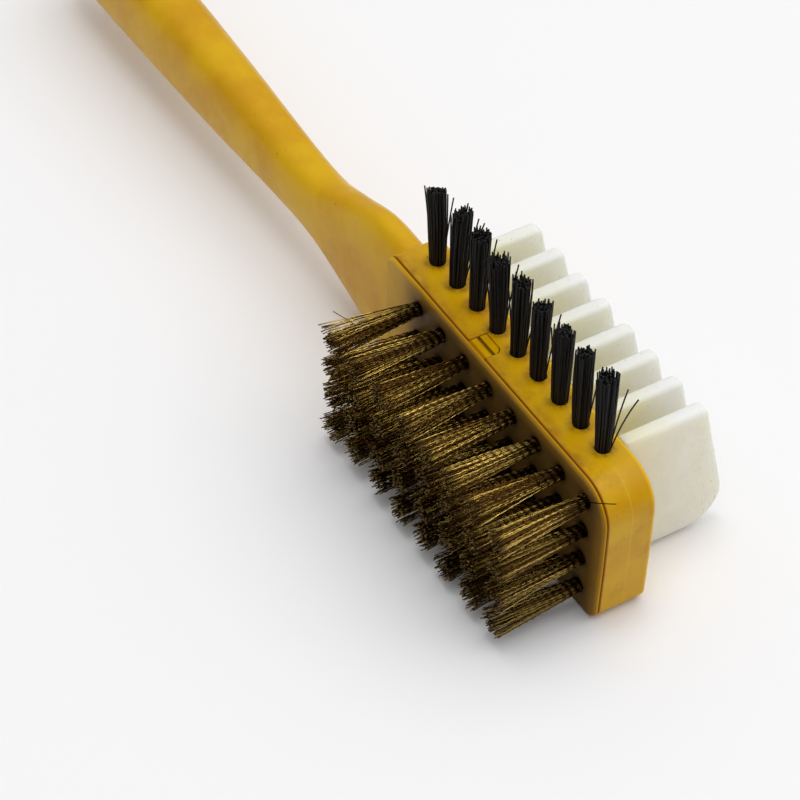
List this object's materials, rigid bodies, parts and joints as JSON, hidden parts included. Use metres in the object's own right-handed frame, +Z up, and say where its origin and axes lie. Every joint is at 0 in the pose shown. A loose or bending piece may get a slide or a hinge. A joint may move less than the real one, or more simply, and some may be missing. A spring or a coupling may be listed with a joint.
{
  "type": "club groove brush",
  "caption": "Three-sided hand brush for golf club grooves: brass wire tufts in front, a row of nylon tufts on the top edge and a rubber comb behind, on a straight moulded handle.",
  "frame": {"origin": "centre of the head's flat bottom edge, which the brush stands on, midway along the head and through its thickness", "axes": "+Z up, from the bottom edge to the nylon tufts; -X along the handle, away from the head; -Y out of the brass bristle face; +Y out of the rubber comb"},
  "size_m": [0.181, 0.0463, 0.043],
  "materials": {
    "yellow_plastic": "semi-gloss moulded yellow plastic with faint grime",
    "nylon": "black nylon filament",
    "brass_wire": "crimped brass wire, dull at the tips",
    "rubber": "translucent cream soft rubber",
    "anchor_wire": "flat steel wire"
  },
  "bodies": {
    "root": {"handle_body": "yellow_plastic", "bristle_plate": "yellow_plastic", "rubber_comb": "rubber", "nylon_tuft_1": "nylon", "nylon_tuft_2": "nylon", "nylon_tuft_3": "nylon", "nylon_tuft_4": "nylon", "nylon_tuft_5": "nylon", "nylon_tuft_6": "nylon", "nylon_tuft_7": "nylon", "nylon_tuft_8": "nylon", "nylon_tuft_9": "nylon", "nylon_anchor_1": "anchor_wire", "nylon_anchor_2": "anchor_wire", "nylon_anchor_3": "anchor_wire", "nylon_anchor_4": "anchor_wire", "nylon_anchor_5": "anchor_wire", "nylon_anchor_6": "anchor_wire", "nylon_anchor_7": "anchor_wire", "nylon_anchor_8": "anchor_wire", "nylon_anchor_9": "anchor_wire", "brass_tuft_row1_1": "brass_wire", "brass_tuft_row1_2": "brass_wire", "brass_tuft_row1_3": "brass_wire", "brass_tuft_row1_4": "brass_wire", "brass_tuft_row1_5": "brass_wire", "brass_tuft_row1_6": "brass_wire", "brass_tuft_row1_7": "brass_wire", "brass_tuft_row1_8": "brass_wire", "brass_tuft_row2_1": "brass_wire", "brass_tuft_row2_2": "brass_wire", "brass_tuft_row2_3": "brass_wire", "brass_tuft_row2_4": "brass_wire", "brass_tuft_row2_5": "brass_wire", "brass_tuft_row2_6": "brass_wire", "brass_tuft_row2_7": "brass_wire", "brass_tuft_row2_8": "brass_wire", "brass_tuft_row3_1": "brass_wire", "brass_tuft_row3_2": "brass_wire", "brass_tuft_row3_3": "brass_wire", "brass_tuft_row3_4": "brass_wire", "brass_tuft_row3_5": "brass_wire", "brass_tuft_row3_6": "brass_wire", "brass_tuft_row3_7": "brass_wire", "brass_tuft_row3_8": "brass_wire", "brass_tuft_row4_1": "brass_wire", "brass_tuft_row4_2": "brass_wire", "brass_tuft_row4_3": "brass_wire", "brass_tuft_row4_4": "brass_wire", "brass_tuft_row4_5": "brass_wire", "brass_tuft_row4_6": "brass_wire", "brass_tuft_row4_7": "brass_wire", "brass_tuft_row4_8": "brass_wire"}
  },
  "joints": []
}
